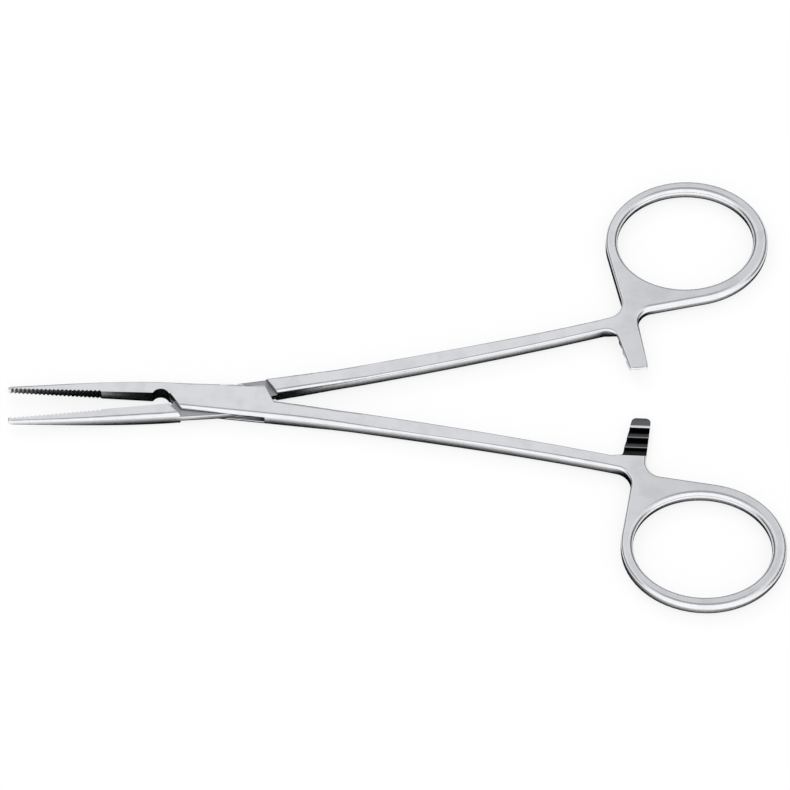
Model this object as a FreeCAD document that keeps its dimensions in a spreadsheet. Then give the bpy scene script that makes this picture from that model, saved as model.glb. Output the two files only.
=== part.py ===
import FreeCAD, Part
import math
import os
import re

import Sketcher

# Locking forceps: two mirror-image halves crossing in a box lock, turning on one
# pin. Each half is drawn in its own frame, jaws along -X, finger ring at +X +Y,
# pin at the origin, mid-plane at Z = 0. The box half is the same drawing turned
# over about X. Both are then swung apart by half of the resting opening.

doc = FreeCAD.newDocument("Forceps")

# Driving sizes in millimetres and degrees
SIZES = {
    # Resting pose and the lock
    "half_opening": 3.75,
    "box_thickness": 3.5,
    "box_edge_round": 0.68,
    "tongue_thickness": 1.4,
    "tongue_clearance": 0.05,
    "pin_radius": 1.3,
    "pin_clearance": 0.03,
    # Jaws
    "jaw_reach": 38.9,
    "jaw_setback": 0.45,
    "jaw_tip_width": 0.85,
    "jaw_tip_corner": 0.5,
    "jaw_tip_thickness": 1.5,
    "jaw_bulge": 0.2,
    "jaw_tip_round": 0.35,
    "heel_reach": 10.0,
    "heel_depth": 2.87,
    # Teeth across the gripping faces
    "serration_pitch": 0.75,
    "serration_depth": 0.28,
    "serration_run": 17.2,
    "serration_start": 0.55,
    # Box: the two plates and the walls of the slot between them
    "plate_corner_reach": 7.25,
    "plate_corner_rise": 2.35,
    "plate_foot_reach": 7.66,
    "plate_foot_drop": 3.1,
    "crotch_reach": 9.3,
    "crotch_rise": 0.14,
    "slot_lean": 0.43,
    "relief_reach": 11.05,
    "relief_radius": 1.65,
    "relief_depth": 0.88,
    # Tongue between the plates
    "shoulder_reach": 9.68,
    "shoulder_foot_reach": 7.75,
    "shank_shoulder_reach": 10.25,
    "shank_shoulder_rise": 0.22,
    "shank_shoulder_top": 8.4,
    "tongue_wall_gap": 0.55,
    # Shank
    "shank_top_start": 3.39,
    "shank_mid_reach": 36.0,
    "shank_mid_rise": 4.585,
    "shank_mid_width": 2.87,
    "shank_thickness": 2.8,
    "neck_start_reach": 10.5,
    "shank_level_reach": 27.0,
    "swell_reach": 4.5,
    "cut_margin": 2.0,
    "shank_edge_round": 0.45,
    # Ratchet arm
    "arm_back": 13.4,
    "arm_taper": 1.1,
    "arm_width": 3.4,
    "arm_lean": 1.95,
    "arm_overlap": 0.3,
    "arm_root_rise": 8.78,
    "arm_corner": 0.95,
    "arm_clearance": 0.05,
    "ratchet_pitch": 2.1,
    "ratchet_depth": 0.75,
    "ratchet_land": 2.2,
    "ratchet_tip_drop": 0.35,
    "ratchet_steep_run": 0.25,
    "ratchet_root_run": 1.1,
    "ratchet_ramp_run": 2.5,
    "ratchet_count": 3,
    # Finger ring and the web that carries it
    "ring_reach": 88.1,
    "ring_rise": 26.38,
    "ring_half_length": 14.95,
    "ring_half_width": 12.97,
    "ring_bar": 2.64,
    "ring_hole_shift": 0.25,
    "ring_hole_lift": 0.18,
    "ring_edge_round": 0.95,
    "ring_round_fade": 0.3,
    "web_corner_back": 13.0,
    "web_corner_drop": 14.58,
    "web_foot_drop": 14.48,
    "web_fillet": 3.2,
    "web_foot_fillet": 3.0,
    "arm_root_fillet": 2.2,
}

# Worked out from the sizes above. The web's two sides run from its corners to where
# they touch the ring's oval, found on a unit circle and stretched back to the oval.
SIZES |= {
    "arm_reach": "=ring_reach - arm_back",
    "arm_root_reach": "=arm_reach - arm_lean",
    "web_corner_reach": "=ring_reach - web_corner_back",
    "web_corner_rise": "=ring_rise - web_corner_drop",
    "web_foot_reach": "=arm_reach + arm_width - arm_taper",
    "web_foot_rise": "=ring_rise - web_foot_drop",
    "jaw_slope": "=(box_thickness - jaw_tip_thickness)"
                 " / (2 * jaw_reach - heel_reach - swell_reach)",
    "heel_height": "=box_thickness / 2 - jaw_slope * (heel_reach - swell_reach) / 2",
    "swell_middle": "=box_thickness / 2 - jaw_slope * (heel_reach - swell_reach) / 8",
    "heel_slope": "=(heel_depth - jaw_setback - jaw_tip_width - 4 * jaw_bulge)"
                  " / (jaw_reach - heel_reach)",
    "plate_middle_drop": "=(heel_depth * 3 + plate_foot_drop) / 4"
                         " + heel_slope * (heel_reach + plate_foot_reach) / 4",
    "neck_reach": "=(neck_start_reach + shank_level_reach) / 2",
    "neck_height": "=(box_thickness + shank_thickness) / 4",
    "neck_upper_middle": "=(neck_height + 3 * box_thickness / 2) / 4",
    "neck_lower_middle": "=(neck_height + 3 * shank_thickness / 2) / 4",
    "jaw_shoulder_lean": "=(shoulder_reach - shoulder_foot_reach) / (heel_depth - jaw_setback)",
    "shank_shoulder_lean": "=(shank_shoulder_reach - shank_shoulder_top)"
                           " / (shank_top_start - shank_shoulder_rise)",
}
for point, turn in (("web_corner", "+"), ("web_foot", "-")):
    touch = {"web_corner": "web_touch", "web_foot": "foot_touch"}[point]
    back = {"+": "-", "-": "+"}[turn]
    SIZES |= {
        f"{touch}_across": f"=({point}_reach - ring_reach) / ring_half_length",
        f"{touch}_up": f"=({point}_rise - ring_rise) / ring_half_width",
        f"{touch}_far": f"={touch}_across ^ 2 + {touch}_up ^ 2",
        f"{touch}_tilt": f"=sqrt({touch}_far - 1)",
        f"{touch}_reach": f"=ring_reach + ring_half_length * "
                          f"({touch}_across {turn} {touch}_up * {touch}_tilt) / {touch}_far",
        f"{touch}_rise": f"=ring_rise + ring_half_width * "
                         f"({touch}_up {back} {touch}_across * {touch}_tilt) / {touch}_far",
    }

sheet = doc.addObject("Spreadsheet::Sheet", "Sizes")
for row, (word, value) in enumerate(SIZES.items(), start=1):
    sheet.set(f"A{row}", word)
    sheet.set(f"B{row}", str(value))
    sheet.setAlias(f"B{row}", word)
doc.recompute()


def size(word):
    return float(getattr(sheet, word))


def formula(text):
    """The text with each size's word pointed at the sheet."""
    return re.sub("[a-z_]+", lambda word: "Sizes." * (word[0] in SIZES) + word[0], text)


def plane(body, role):
    return next(item for item in body.Origin.OriginFeatures if item.Role == role)


def new_sketch(body, name, role="XY_Plane"):
    sketch = body.newObject("Sketcher::SketchObject", name)
    sketch.AttachmentSupport = (plane(body, role), "")
    sketch.MapMode = "FlatFace"
    return sketch


def pin_point(sketch, geometry, end, across, up):
    """Ties one point of a sketch to two formulas of the sheet's sizes."""
    for kind, text in (("DistanceX", across), ("DistanceY", up)):
        bound = formula(text)
        value = float(sketch.evalExpression(bound))
        index = sketch.addConstraint(Sketcher.Constraint(kind, -1, 1, geometry, end, value))
        sketch.setExpression(f"Constraints[{index}]", bound)


def place(sketch, corner):
    across, up = (float(sketch.evalExpression(formula(text))) for text in corner)
    return FreeCAD.Vector(across, up, 0)


def draw_outline(sketch, corners, bows=None):
    """A closed outline through the corners, straight, or bowed through a point."""
    bows = bows or {}
    spots = [place(sketch, corner) for corner in corners]
    sides = []
    for index, spot in enumerate(spots):
        after = spots[(index + 1) % len(spots)]
        if index in bows:
            side = Part.Arc(spot, place(sketch, bows[index]), after)
        else:
            side = Part.LineSegment(spot, after)
        sides.append(sketch.addGeometry(side, False))
    starts = []
    for index, side in enumerate(sides):
        # An arc that was drawn clockwise is stored the other way round
        start = 1 if sketch.getPoint(side, 1).distanceToPoint(spots[index]) < 1e-6 else 2
        starts.append(start)
        pin_point(sketch, side, start, *corners[index])
    for index, side in enumerate(sides):
        follower = (index + 1) % len(sides)
        sketch.addConstraint(
            Sketcher.Constraint("Coincident", side, 3 - starts[index],
                                sides[follower], starts[follower]))
    for index, bow in bows.items():
        dot = sketch.addGeometry(Part.Point(place(sketch, bow)), True)
        pin_point(sketch, dot, 1, *bow)
        sketch.addConstraint(Sketcher.Constraint("PointOnObject", dot, 1, sides[index]))


def draw_ellipse(sketch, centre, half_length, half_width):
    """An ellipse with its long axis along X."""
    middle = place(sketch, centre)
    long_half = float(sketch.evalExpression(formula(half_length)))
    short_half = float(sketch.evalExpression(formula(half_width)))
    ellipse = sketch.addGeometry(
        Part.Ellipse(middle + FreeCAD.Vector(long_half, 0, 0),
                     middle + FreeCAD.Vector(0, short_half, 0), middle), False)
    sketch.exposeInternalGeometry(ellipse)
    long_axis = ellipse + 1
    short_axis = ellipse + 2
    pin_point(sketch, ellipse, 3, *centre)
    sketch.addConstraint(Sketcher.Constraint("Horizontal", long_axis))
    for axis, text in ((long_axis, half_length), (short_axis, half_width)):
        bound = "2 * (" + formula(text) + ")"
        value = float(sketch.evalExpression(bound))
        index = sketch.addConstraint(Sketcher.Constraint("Distance", axis, value))
        sketch.setExpression(f"Constraints[{index}]", bound)


def symmetric(body, kind, sketch, name, length):
    """A pad or pocket that reaches equally to both sides of its sketch."""
    feature = body.newObject("PartDesign::" + kind, name)
    feature.Profile = sketch
    feature.SideType = "Symmetric"
    feature.setExpression("Length", formula(length))
    sketch.Visibility = False
    doc.recompute()
    return feature


def corner_edges(shape, spots):
    """Names of the vertical edges that stand at the given plan points."""
    names = []
    for number, edge in enumerate(shape.Edges, start=1):
        ends = [vertex.Point for vertex in edge.Vertexes]
        if len(ends) != 2 or math.hypot(ends[0].x - ends[1].x, ends[0].y - ends[1].y) > 1e-4:
            continue
        if any(math.hypot(ends[0].x - spot.x, ends[0].y - spot.y) < 1e-3 for spot in spots):
            names.append(f"Edge{number}")
    return names


def round_edges(body, name, edges, radius):
    base = body.Tip
    fillet = body.newObject("PartDesign::Fillet", name)
    fillet.Base = (base, edges)
    fillet.setExpression("Radius", formula(radius))
    body.Tip = fillet
    doc.recompute()
    return fillet


JAW = [
    ("-jaw_reach", "-jaw_setback"),
    ("-jaw_reach", "-jaw_setback - jaw_tip_width"),
    ("-heel_reach", "-heel_depth"),
]
ARM_AND_WEB = [
    ("arm_root_reach", "arm_root_rise"),
    ("arm_reach", "-arm_overlap"),
    ("arm_reach + arm_width", "-arm_overlap"),
    ("web_foot_reach", "web_foot_rise"),
    ("foot_touch_reach", "foot_touch_rise"),
    ("web_touch_reach", "web_touch_rise"),
    ("web_corner_reach", "web_corner_rise"),
]
PLATE_FOOT = [("plate_foot_reach", "-plate_foot_drop"), ("crotch_reach", "crotch_rise")]
PLATE_TOP = [
    ("plate_foot_reach", "shank_top_start"),
    ("-plate_corner_reach", "plate_corner_rise"),
    ("-crotch_reach", "-jaw_setback"),
]
JAW_BOW = ("-(jaw_reach + heel_reach) / 2",
           "-(jaw_setback + jaw_tip_width + heel_depth) / 2 - jaw_bulge")
PLATE_BOW = ("(plate_foot_reach - heel_reach) / 2", "-plate_middle_drop")
INNER_BOW = ("shank_mid_reach", "shank_mid_rise - shank_mid_width / 2")
OUTER_BOW = ("shank_mid_reach", "shank_mid_rise + shank_mid_width / 2")


def half_blank(name):
    """One half before its lock, teeth and ratchet are cut."""
    body = doc.addObject("PartDesign::Body", name + "_blank")
    corners = JAW + PLATE_FOOT + ARM_AND_WEB + PLATE_TOP
    bows = {
        corners.index(JAW[1]): JAW_BOW,
        corners.index(JAW[2]): PLATE_BOW,
        corners.index(PLATE_FOOT[1]): INNER_BOW,
        corners.index(ARM_AND_WEB[6]): OUTER_BOW,
    }
    outline = new_sketch(body, name + "_outline")
    draw_outline(outline, corners, bows)
    symmetric(body, "Pad", outline, name + "_plate", "box_thickness")

    disc = new_sketch(body, name + "_ring_disc")
    draw_ellipse(disc, ("ring_reach", "ring_rise"), "ring_half_length", "ring_half_width")
    symmetric(body, "Pad", disc, name + "_ring", "box_thickness")
    hole = new_sketch(body, name + "_ring_hole")
    draw_ellipse(hole, ("ring_reach - ring_hole_shift", "ring_rise + ring_hole_lift"),
                 "ring_half_length - ring_bar + ring_hole_shift", "ring_half_width - ring_bar")
    symmetric(body, "Pocket", hole, name + "_finger_hole", "2 * box_thickness")

    rounds = (
        ("web_round", "web_fillet", [ARM_AND_WEB[6]]),
        ("web_foot_round", "web_foot_fillet", [ARM_AND_WEB[3]]),
        ("arm_root_round", "arm_root_fillet", [ARM_AND_WEB[0]]),
        ("arm_end_round", "arm_corner", ARM_AND_WEB[1:3]),
        ("jaw_tip_round", "jaw_tip_corner", [JAW[1]]),
    )
    for feature, radius, spots in rounds:
        points = [place(outline, spot) for spot in spots]
        edges = corner_edges(body.Tip.Shape, points)
        round_edges(body, f"{name}_{feature}", edges, radius)

    for side, sign in (("front", ""), ("back", "-")):
        above = f"{sign}(box_thickness / 2 + cut_margin)"
        profile = new_sketch(body, f"{name}_{side}_jaw_profile", "XZ_Plane")
        draw_outline(profile, [
            ("-jaw_reach", f"{sign}(jaw_tip_thickness / 2)"),
            ("-heel_reach", f"{sign}(heel_height)"),
            ("-swell_reach", f"{sign}(box_thickness / 2)"),
            ("-swell_reach", above),
            ("-jaw_reach", above),
        ], {1: ("-(heel_reach + swell_reach) / 2", f"{sign}(swell_middle)")})
        symmetric(body, "Pocket", profile, f"{name}_{side}_jaw_taper", "4 * ring_rise")
        profile = new_sketch(body, f"{name}_{side}_shank_profile", "XZ_Plane")
        draw_outline(profile, [
            ("neck_start_reach", f"{sign}(box_thickness / 2)"),
            ("neck_reach", f"{sign}(neck_height)"),
            ("shank_level_reach", f"{sign}(shank_thickness / 2)"),
            ("ring_reach + ring_half_length", f"{sign}(shank_thickness / 2)"),
            ("ring_reach + ring_half_length", above),
            ("neck_start_reach", above),
        ], {0: ("(neck_start_reach + neck_reach) / 2", f"{sign}(neck_upper_middle)"),
            1: ("(neck_reach + shank_level_reach) / 2", f"{sign}(neck_lower_middle)")})
        symmetric(body, "Pocket", profile, f"{name}_{side}_shank_taper", "4 * ring_rise")
    return body


def outer_edges(shape):
    """Edges along the sides of the flats, with the radius wanted at each end."""
    chosen = []
    for number, edge in enumerate(shape.Edges, start=1):
        faces = shape.ancestorsOfType(edge, Part.Face)
        middle = edge.valueAt((edge.FirstParameter + edge.LastParameter) / 2)
        rises = [abs(face.normalAt(*face.Surface.parameter(middle)).z) for face in faces]
        if len(rises) != 2 or min(rises) > 0.1 or max(rises) < 0.9:
            continue
        jaw_side = middle.x < -size("plate_corner_reach") and middle.y > -size("heel_depth") / 2
        plate_end = size("plate_foot_reach") < middle.x < size("crotch_reach")
        if (jaw_side and middle.y < size("plate_corner_rise")) or (plate_end and middle.y < 0):
            continue
        ends = [edge.firstVertex(True).Point, edge.lastVertex(True).Point]
        if middle.y < 0 and middle.x < size("plate_foot_reach"):
            # The rounding runs along the jaw's outer side against its edges
            ends.reverse()
        chosen.append((number, *(edge_radius(point) for point in ends)))
    return chosen


def edge_radius(point):
    """Radius on the side of the bar at a point of its outline."""
    if point.x < size("neck_reach") + 0.01:
        along = min((size("jaw_reach") + point.x) / (size("jaw_reach") - size("heel_reach")), 1)
        return size("jaw_tip_round") * (1 - along) + size("box_edge_round") * along
    if point.x < size("arm_root_reach") - size("arm_lean") or point.y < size("arm_root_rise"):
        return size("shank_edge_round")
    across = (point.x - size("ring_reach")) / size("ring_half_length")
    up = (point.y - size("ring_rise")) / size("ring_half_width")
    beyond = min(max(math.hypot(across, up) - 1, 0) / size("ring_round_fade"), 1)
    return size("ring_edge_round") * (1 - beyond) + size("shank_edge_round") * beyond


def rounded(body, name):
    """The blank with the sides of its bars rounded, most on the finger ring."""
    fillet = doc.addObject("Part::Fillet", name + "_rounded")
    fillet.Base = body
    fillet.Edges = outer_edges(body.Shape)
    doc.recompute()
    return fillet


def cutter(name, corners, thickness, middle="0", role="XY_Plane"):
    """A prism that is taken away, reaching equally to both sides of middle."""
    body = doc.addObject("PartDesign::Body", name)
    sketch = new_sketch(body, name + "_outline", role)
    sketch.setExpression("AttachmentOffset.Base.z", formula(middle))
    doc.recompute()
    draw_outline(sketch, corners)
    symmetric(body, "Pad", sketch, name + "_prism", thickness)
    return body


def round_cutter(name, radius, across, up):
    cylinder = doc.addObject("Part::Cylinder", name)
    cylinder.setExpression("Radius", formula(radius))
    cylinder.setExpression("Height", formula("2 * box_thickness"))
    cylinder.setExpression("Placement.Base.x", formula(across))
    cylinder.setExpression("Placement.Base.y", formula(up))
    cylinder.setExpression("Placement.Base.z", formula("-box_thickness"))
    return cylinder


def serrations(name):
    """Cross grooves along the far part of the gripping face."""
    grooves = int(size("serration_run") / size("serration_pitch"))
    start = "-jaw_reach + serration_start"
    corners = [(start, "-jaw_setback + cut_margin"), (start, "-jaw_setback")]
    for groove in range(grooves):
        corners.append((f"{start} + {groove + 0.5} * serration_pitch",
                        "-jaw_setback - serration_depth"))
        corners.append((f"{start} + {groove + 1} * serration_pitch", "-jaw_setback"))
    corners.append((f"{start} + {grooves} * serration_pitch", "-jaw_setback + cut_margin"))
    return cutter(name + "_serrations", corners, "2 * box_thickness")


def ratchet(name):
    """Halves the arm's thickness and leaves teeth that face the other arm."""
    crest = "-arm_overlap + ratchet_land"
    corners = [
        ("-arm_overlap - cut_margin", "-box_thickness"),
        ("-arm_overlap - cut_margin", "arm_clearance + ratchet_tip_drop"),
        ("-arm_overlap", "arm_clearance + ratchet_tip_drop"),
    ]
    for tooth in range(int(size("ratchet_count"))):
        spot = f"{crest} + {tooth} * ratchet_pitch"
        corners.append((spot, "arm_clearance"))
        corners.append((f"{spot} + ratchet_steep_run", "arm_clearance + ratchet_depth"))
    corners += [
        (f"{spot} + ratchet_root_run", "arm_clearance + ratchet_depth"),
        (f"{spot} + ratchet_ramp_run", "-shank_thickness / 2"),
        (f"{spot} + ratchet_ramp_run", "-box_thickness"),
    ]
    return cutter(name + "_ratchet", corners, "3 * arm_width", "arm_reach + arm_width / 2",
                  "YZ_Plane")


def cut_away(base, tools, name):
    """Takes the tools away one after another. The last result is the finished piece."""
    for number, tool in enumerate(tools, start=1):
        cut = doc.addObject("Part::Cut", name if number == len(tools) else f"{name}_{number}")
        cut.Base = base
        cut.Tool = tool
        base = cut
    doc.recompute()
    return base


# Box half: two plates with the tongue's slot between them. The slot's end walls lean
# with the plates' ends, and a round relief clears the root of its jaw.
slot = cutter("box_half_slot", [
    ("-crotch_reach + slot_lean * (heel_depth + cut_margin - jaw_setback)",
     "-heel_depth - cut_margin"),
    ("-crotch_reach", "-jaw_setback"),
    ("-crotch_reach", "shank_top_start + cut_margin"),
    ("crotch_reach - slot_lean * (shank_top_start + cut_margin - crotch_rise)",
     "shank_top_start + cut_margin"),
    ("crotch_reach", "crotch_rise"),
    ("crotch_reach", "-heel_depth - cut_margin"),
], "tongue_thickness + 2 * tongue_clearance")
box_tools = [
    slot,
    round_cutter("box_half_bore", "pin_radius", "0", "0"),
    round_cutter("box_half_relief", "relief_radius", "-relief_reach",
                 "relief_radius - relief_depth - jaw_setback"),
    serrations("box_half"),
    ratchet("box_half"),
]
box_half = cut_away(rounded(half_blank("box_half"), "box_half"), box_tools, "box_half")

# Tongue half: full thickness up to its two shoulders, and a thin tongue as wide as the
# plates between them. The tongue's end stops short of the slot's wall.
jaw_shoulder = ("-shoulder_reach", "-jaw_setback")
jaw_shoulder_below = (
    "-shoulder_reach + jaw_shoulder_lean * (heel_depth + cut_margin - jaw_setback)",
    "-heel_depth - cut_margin")
shank_shoulder = ("shank_shoulder_reach", "shank_shoulder_rise")
shank_shoulder_above = (
    "shank_shoulder_reach - shank_shoulder_lean"
    " * (shank_top_start + cut_margin - shank_shoulder_rise)",
    "shank_top_start + cut_margin")
above_lock = ("-shoulder_reach", "shank_top_start + cut_margin")
below_lock = ("shank_shoulder_reach", "-heel_depth - cut_margin")
tongue_tools = [
    cutter(f"tongue_half_{side}_layer",
           [jaw_shoulder, above_lock, shank_shoulder_above, shank_shoulder, below_lock,
            jaw_shoulder_below],
           "box_thickness / 2", f"{sign}(tongue_thickness / 2 + box_thickness / 4)")
    for side, sign in (("front", ""), ("back", "-"))
]
tongue_tools += [
    cutter("tongue_half_lower_trim", [
        ("crotch_reach - tongue_wall_gap", "0"), shank_shoulder, below_lock,
        ("crotch_reach - tongue_wall_gap - slot_lean * (heel_depth + cut_margin)",
         "-heel_depth - cut_margin"),
    ], "2 * box_thickness"),
    round_cutter("tongue_half_bore", "pin_radius + pin_clearance", "0", "0"),
    serrations("tongue_half"),
    ratchet("tongue_half"),
]
tongue_half = cut_away(rounded(half_blank("tongue_half"), "tongue_half"), tongue_tools,
                       "tongue_half")

# The pin, pressed into both plates and ground flush with them
joint_pin = doc.addObject("Part::Cylinder", "joint_pin")
joint_pin.setExpression("Radius", formula("pin_radius"))
joint_pin.setExpression("Height", formula("box_thickness"))

# Resting pose: the lock's underside at Z = 0. The tongue half swings its ring up, and
# the box half is turned over about a line half of the opening below X, which mirrors it.
tongue_half.setExpression("Placement.Rotation.Angle", formula("half_opening"))
box_half.setExpression("Placement.Rotation.Axis.x", formula("cos(half_opening / 2 * 1 deg)"))
box_half.setExpression("Placement.Rotation.Axis.y", formula("-sin(half_opening / 2 * 1 deg)"))
box_half.setExpression("Placement.Rotation.Axis.z", "0")
box_half.setExpression("Placement.Rotation.Angle", "180")
for half in (tongue_half, box_half):
    half.setExpression("Placement.Base.z", formula("box_thickness / 2"))
doc.recompute()

nodes = (box_half, tongue_half, joint_pin)
for item in doc.Objects:
    assert not {"Invalid", "Error"} & set(item.State), f"{item.Name}: {item.State}"
for node in nodes:
    assert not node.Shape.isNull() and node.Shape.isValid(), node.Label
    assert len(node.Shape.Solids) == 1, node.Label

os.makedirs("parts", exist_ok=True)
for node in nodes:
    node.Shape.exportStep(f"parts/{node.Label}.step")
    box = node.Shape.BoundBox
    print(node.Label, round(node.Shape.Volume, 1), "mm3",
          *(round(value, 2) for value in (box.XMin, box.XMax, box.YMin, box.YMax,
                                          box.ZMin, box.ZMax)))
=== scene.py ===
import math

import bpy
from mathutils import Matrix, Vector

for leftover in ("Cube", "Light", "Camera"):
    if leftover in bpy.data.objects:
        bpy.data.objects.remove(bpy.data.objects[leftover], do_unlink=True)
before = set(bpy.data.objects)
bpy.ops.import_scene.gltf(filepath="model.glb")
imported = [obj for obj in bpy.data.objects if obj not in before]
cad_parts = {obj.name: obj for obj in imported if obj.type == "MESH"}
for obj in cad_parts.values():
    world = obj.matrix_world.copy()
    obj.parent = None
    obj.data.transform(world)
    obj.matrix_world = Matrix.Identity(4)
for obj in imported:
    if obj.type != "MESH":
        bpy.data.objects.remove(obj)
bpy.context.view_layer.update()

# The camera looks down on the forceps from the front, a little from their right, through
# a long lens. Its view was read from the photograph: how far round and how high it
# stands, how it is rolled, and where a point between the rings falls in the picture.
IMAGE_SIZE = 790
VIEW_AZIMUTH = math.radians(-6.32)
VIEW_ELEVATION = math.radians(59.5)
VIEW_ROLL = math.radians(-4.5)
VIEW_DISTANCE = 1.347
PIXELS_PER_METRE = 5495.0
AIM = Vector((0.070, 0.0, 0.00175))
AIM_PIXEL = (606.4, 395.5)
SENSOR_WIDTH = 36.0

level_right = Vector((math.cos(VIEW_AZIMUTH), math.sin(VIEW_AZIMUTH), 0))
forward = Vector((-math.sin(VIEW_AZIMUTH) * math.cos(VIEW_ELEVATION),
                  math.cos(VIEW_AZIMUTH) * math.cos(VIEW_ELEVATION),
                  -math.sin(VIEW_ELEVATION)))
level_up = level_right.cross(forward)
right = level_right * math.cos(VIEW_ROLL) - level_up * math.sin(VIEW_ROLL)
up = level_right * math.sin(VIEW_ROLL) + level_up * math.cos(VIEW_ROLL)
focal_pixels = PIXELS_PER_METRE * VIEW_DISTANCE

# The lens is turned from the aim's pixel to the middle of the picture
to_middle = (forward
             + right * ((IMAGE_SIZE / 2 - AIM_PIXEL[0]) / focal_pixels)
             - up * ((IMAGE_SIZE / 2 - AIM_PIXEL[1]) / focal_pixels)).normalized()
camera_right = (right - to_middle * right.dot(to_middle)).normalized()
camera_up = camera_right.cross(to_middle)
camera_data = bpy.data.cameras.new("camera")
camera_data.sensor_width = SENSOR_WIDTH
camera_data.lens = focal_pixels / IMAGE_SIZE * SENSOR_WIDTH
camera_data.clip_start = 0.05
camera_data.clip_end = 50
camera = bpy.data.objects.new("camera", camera_data)
bpy.context.scene.collection.objects.link(camera)
turn = Matrix((camera_right, camera_up, -to_middle)).transposed().to_4x4()
camera.matrix_world = Matrix.Translation(AIM - forward * VIEW_DISTANCE) @ turn
bpy.context.scene.camera = camera
bpy.context.scene.view_settings.view_transform = "Standard"

# The floor is a white tabletop that glows evenly, with a little real lamp light and shadow.
# Ambient occlusion dims its glow near the forceps: a soft painted shadow for the camera, and a
# deep painted shade beside and under the bars that only the steel's reflections show, dark
# along its lower sides.
FLOOR_HALF = 4.0
FLOOR_DROP = 0.0001
FLOOR_WHITE = 1.035
SHADE_REACH = 0.010
SHADE_DEPTH = 0.06
GAP_REACH = 0.0024
GAP_EDGES = (0.65, 0.94)
GAP_DEPTH = 1.6
WIDE_GAP_EDGES = (0.50, 0.74)
MIRRORED_WHITE = 1.17
PAPER = (0.9, 0.9, 0.9, 1)
LIT_SHARE = 0.85


class Socket:
    """A node's output that takes part in arithmetic, each sum adding a Math node."""

    def __init__(self, nodes, output):
        self.nodes = nodes
        self.output = output

    def _math(self, operation, *values, clamp=False):
        return self.nodes.add("ShaderNodeMath", {"operation": operation, "use_clamp": clamp},
                              dict(enumerate(values)))

    def __add__(self, other):
        return self._math("ADD", self, other)

    def __sub__(self, other):
        return self._math("SUBTRACT", self, other)

    def __rsub__(self, other):
        return self._math("SUBTRACT", other, self)

    def __mul__(self, other):
        return self._math("MULTIPLY", self, other)

    def __pow__(self, other):
        return self._math("POWER", self, other)

    def __abs__(self):
        return self._math("ABSOLUTE", self)

    __radd__ = __add__
    __rmul__ = __mul__

    def clamped(self):
        return self._math("ADD", self, 0, clamp=True)


class Nodes:
    """The nodes of one material or world, filled by one method."""

    def __init__(self, owner):
        owner.use_nodes = True
        self.tree = owner.node_tree
        self.tree.nodes.clear()

    def add(self, kind, settings=None, sockets=None, output=0):
        node = self.tree.nodes.new(kind)
        for name, value in (settings or {}).items():
            setattr(node, name, value)
        for name, value in (sockets or {}).items():
            if isinstance(value, Socket):
                self.tree.links.new(value.output, node.inputs[name])
            else:
                node.inputs[name].default_value = value
        return Socket(self, node.outputs[output]) if len(node.outputs) else node

    def parts(self, kind, sockets=None):
        """All outputs of one node, in their own order."""
        node = self.add(kind, None, sockets).output.node
        return [Socket(self, output) for output in node.outputs]

    def rising(self, value, low, high):
        return self.add("ShaderNodeMapRange", {"interpolation_type": "SMOOTHSTEP"},
                        {"Value": value, "From Min": low, "From Max": high})

    def falling(self, value, low, high):
        return self.add("ShaderNodeMapRange", {"interpolation_type": "SMOOTHSTEP"},
                        {"Value": value, "From Min": low, "From Max": high,
                         "To Min": 1.0, "To Max": 0.0})

    def between(self, value, edges, blur):
        low, high = edges
        return (self.rising(value, low - blur, low + blur)
                * self.falling(value, high - blur, high + blur))

    def blend(self, amount, first, second, kind="RGBA"):
        start, result = {"RGBA": (6, 2), "VECTOR": (4, 1)}[kind]
        mix = self.add("ShaderNodeMix", {"data_type": kind},
                       {0: amount, start: first, start + 1: second})
        return Socket(self, mix.output.node.outputs[result])

    def open_share(self, reach, samples):
        return self.add("ShaderNodeAmbientOcclusion", {"samples": samples},
                        {"Distance": reach}, output="AO")

    def dot(self, vector, direction):
        return self.add("ShaderNodeVectorMath", {"operation": "DOT_PRODUCT"},
                        {0: vector, 1: direction}, output="Value")


bpy.ops.mesh.primitive_plane_add(size=2 * FLOOR_HALF, location=(0, 0, -FLOOR_DROP))
floor = bpy.context.object
floor.name = "floor"
paper = bpy.data.materials.new("white_tabletop")
nodes = Nodes(paper)
open_wide = nodes.open_share(SHADE_REACH, 16)
open_near = nodes.open_share(GAP_REACH, 16)
seen_in_steel = nodes.add("ShaderNodeLightPath", output="Is Glossy Ray")
# Painted shadow: the glow the camera sees is dimmed near the forceps by ambient occlusion
seen_with_painted_shadow = FLOOR_WHITE * open_wide ** SHADE_DEPTH
# Painted shade seen only in the steel's reflections: the glow goes dark beside and under the
# bars
mirrored_with_painted_shade = (MIRRORED_WHITE * nodes.rising(open_near, *GAP_EDGES) ** GAP_DEPTH
            * nodes.rising(open_wide, *WIDE_GAP_EDGES))
glow = nodes.add("ShaderNodeEmission", None,
                 {"Color": (1, 1, 1, 1), "Strength": seen_with_painted_shadow + (mirrored_with_painted_shade - seen_with_painted_shadow) * seen_in_steel})
matt = nodes.add("ShaderNodeBsdfDiffuse", None, {"Color": PAPER})
share = LIT_SHARE + (1 - LIT_SHARE) * seen_in_steel
white_top = nodes.add("ShaderNodeMixShader", None, {0: share, 1: matt, 2: glow})
nodes.add("ShaderNodeOutputMaterial", None, {"Surface": white_top})
floor.data.materials.append(paper)

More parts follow.
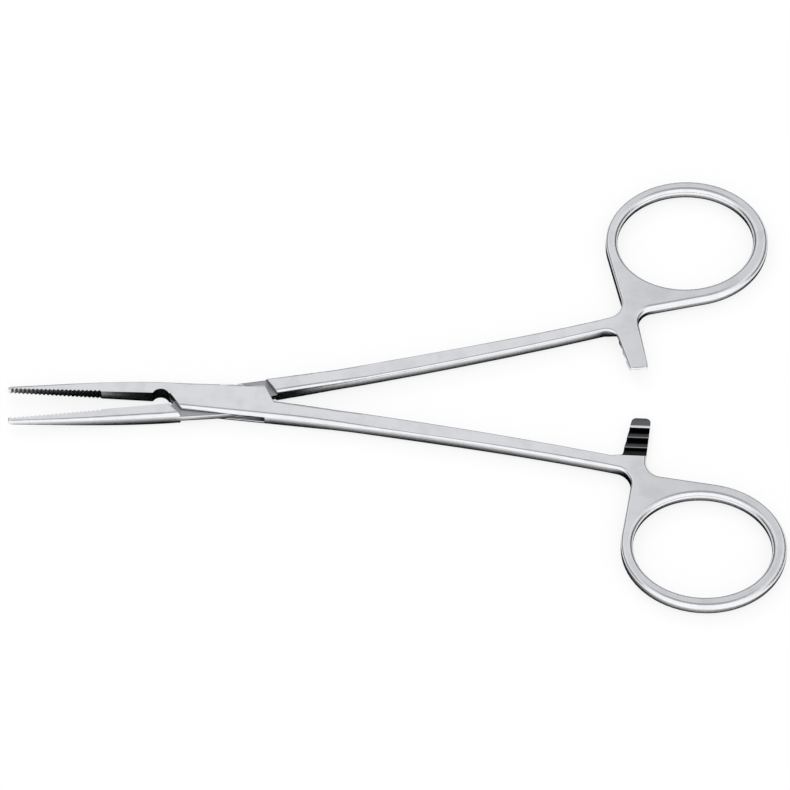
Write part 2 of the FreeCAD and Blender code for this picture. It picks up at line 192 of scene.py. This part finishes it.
# The studio is a pale tent that glows most behind the camera. It is darker where its
# two sides meet overhead and low down at the sides and the back, so that polished
# steel shows bands along its rounded edges.
TENT_COLOUR = (0.985, 0.99, 1.0, 1)
TENT_GLOW = 0.90
FRONT_GLOW = 0.28
OVERHEAD_DARK = 0.45
LOW_DARK = 0.62
LOW_SIDE_DARK = 0.16
world = bpy.data.worlds.new("tent")
bpy.context.scene.world = world
nodes = Nodes(world)
direction = nodes.add("ShaderNodeTexCoord", output="Generated")
height = nodes.dot(direction, (0, 0, 1))
low = 1.0 - nodes.rising(height, 0.15, 0.72)
overhead = nodes.rising(height, 0.90, 0.985)
front = nodes.rising(nodes.dot(direction, (0, -1, 0)), 0.15, 0.6)
side = nodes.rising(abs(nodes.dot(direction, (1, 0, 0))), 0.3, 0.9)
strength = (TENT_GLOW - low * (LOW_DARK + LOW_SIDE_DARK * side) * (1.0 - front)
            + FRONT_GLOW * front - OVERHEAD_DARK * overhead)
tent = nodes.add("ShaderNodeBackground", None, {"Color": TENT_COLOUR, "Strength": strength})
nodes.add("ShaderNodeOutputWorld", None, {"Surface": tent})

# A soft lamp stands high behind the left and gives the shadow a side. The steel doesn't
# mirror it.
LAMP_PLACE = (-0.4, 0.9, 1.0)
LAMP_WIDTH = 0.6
LAMP_WATTS = 3.0
lamp_data = bpy.data.lights.new("soft_box", "AREA")
lamp_data.shape = "DISK"
lamp_data.size = LAMP_WIDTH
lamp_data.energy = LAMP_WATTS
lamp = bpy.data.objects.new("soft_box", lamp_data)
bpy.context.scene.collection.objects.link(lamp)
lamp.location = LAMP_PLACE
lamp.rotation_euler = (-lamp.location).to_track_quat("-Z", "Y").to_euler()
lamp.visible_glossy = False

# The two halves are forged from bars of stainless steel, ground flat on both faces and
# buffed, so their flats keep faint lines and the rounded sides shine more. Shade is painted
# into the colour on the lock's recess, on walls facing along the bars, on the ratchet's
# teeth, in the jaws' grooves and in crevices, with painted highlight lines on the teeth's
# crests; the ring flats are tinted a little darker.
STEEL = (0.80, 0.81, 0.825, 1)
STEEL_DULL = (0.72, 0.73, 0.75, 1)
# Painted shade on the lock's recess and on walls facing along the bars; the ring flats take a
# little of it as a darker tint
STEEL_DARKENED = (0.40, 0.41, 0.43, 1)
# Painted shade on the ratchet's teeth
STEEL_RACK_PAINTED_SHADE = (0.13, 0.133, 0.14, 1)
# Painted shade in crevices, the jaws' grooves and the teeth's gullets
STEEL_PAINTED_GAP_SHADE = (0.02, 0.02, 0.022, 1)
LINE_SCALE = (180, 4200, 900)
CLOUD_SCALE = 260.0
LOCK_ENDS = (-0.0096, 0.0106)
PIN_EDGES = (0.0019, 0.0023)
RECESS_TOP = (0.0028, 0.0031)
RING_FADE = (0.066, 0.080)
SERRATION_END = (-0.0212, -0.0208)
RACK_SIDES = (0.0691, 0.0791)
RACK_ENDS = (-0.0126, -0.0001)
RACK_TOP = (0.0029, 0.0031)
CREST_LEVELS = (0.001625, 0.001735)
GULLET_LEVEL = (0.0012, 0.0015)
CREVICE_REACH = 0.0012
EDGE_ROUND = 0.0003
BUFFED = 0.10
steel = bpy.data.materials.new("buffed_steel")
nodes = Nodes(steel)
place = nodes.add("ShaderNodeTexCoord", output="Object")
along, across, level = nodes.parts("ShaderNodeSeparateXYZ", {0: place})
facing = nodes.add("ShaderNodeTexCoord", output="Normal")
sideways, _, upwards = nodes.parts("ShaderNodeSeparateXYZ", {0: facing})
flat = nodes.rising(abs(upwards), 0.96, 0.995)
# Walls facing along the bars get painted shade
end_wall_painted_shade = nodes.rising(abs(sideways), 0.40, 0.90)
stretched = nodes.add("ShaderNodeMapping", None, {"Vector": place, "Scale": LINE_SCALE})
lines = nodes.add("ShaderNodeTexNoise", None,
                  {"Vector": stretched, "Scale": 1.0, "Detail": 3.0, "Roughness": 0.6})
clouds = nodes.add("ShaderNodeTexNoise", None,
                   {"Vector": place, "Scale": CLOUD_SCALE, "Detail": 4.0, "Roughness": 0.55})
wear = nodes.rising(clouds, 0.42, 0.68)
in_lock = nodes.between(along, LOCK_ENDS, 0.0002)
off_pin = nodes.rising((along * along + across * across) ** 0.5, *PIN_EDGES)
# Painted shade on the lock's recess flats; the ring flats are only tinted a little darker
recess = flat * in_lock * nodes.falling(level, *RECESS_TOP)
rings = flat * nodes.rising(along, *RING_FADE)
serrated = nodes.falling(along, *SERRATION_END)
# The ratchet's teeth get painted shade, black at the gullets, and the crests keep the plain
# steel colour as painted highlight lines
rack = (nodes.between(along, RACK_SIDES, 0.0001) * nodes.between(across, RACK_ENDS, 0.0001)
        * nodes.falling(level, *RACK_TOP))
crest_painted_highlight = rack * nodes.between(level, CREST_LEVELS, 0.000025)
gullet_painted_shade = rack * nodes.falling(level, *GULLET_LEVEL)
# Ambient occlusion paints shade into crevices away from the pin and into the jaws' grooves
clear = nodes.open_share(CREVICE_REACH, 12)
crevice_painted_shade = (nodes.falling(clear, 0.25, 0.75) * off_pin
           + nodes.falling(clear, 0.60, 0.98) * serrated).clamped()
tint = nodes.blend(wear * 0.6 + lines * 0.3, STEEL, STEEL_DULL)
tint = nodes.blend((recess + rings * 0.28 + end_wall_painted_shade * 0.7).clamped(), tint, STEEL_DARKENED)
tint = nodes.blend(rack, tint, STEEL_RACK_PAINTED_SHADE)
tint = nodes.blend((crevice_painted_shade + gullet_painted_shade).clamped(), tint, STEEL_PAINTED_GAP_SHADE)
tint = nodes.blend(crest_painted_highlight, tint, STEEL)
roughness = BUFFED + 0.12 * flat + 0.05 * wear + 0.06 * (lines - 0.5) * flat + 0.1 * recess
sharp = nodes.add("ShaderNodeNewGeometry", output="Normal")
softened = nodes.add("ShaderNodeBevel", {"samples": 8}, {"Radius": EDGE_ROUND})
edges = nodes.blend(in_lock * off_pin, sharp, softened, "VECTOR")
bumps = nodes.add("ShaderNodeBump", None,
                  {"Strength": 0.06, "Distance": 0.00002,
                   "Height": lines * flat + clouds * 0.5, "Normal": edges})
buffed = nodes.add("ShaderNodeBsdfPrincipled", None,
                   {"Base Color": tint, "Metallic": 1.0, "Roughness": roughness,
                    "Normal": bumps})
nodes.add("ShaderNodeOutputMaterial", None, {"Surface": buffed})
for half in ("box_half", "tongue_half"):
    for material_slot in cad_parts[half].material_slots:
        material_slot.material = steel

# The joint pin is a plain steel rivet, pressed in the box half's two plates and ground
# flush with them, so it has their finish.
for material_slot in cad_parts["joint_pin"].material_slots:
    material_slot.material = steel
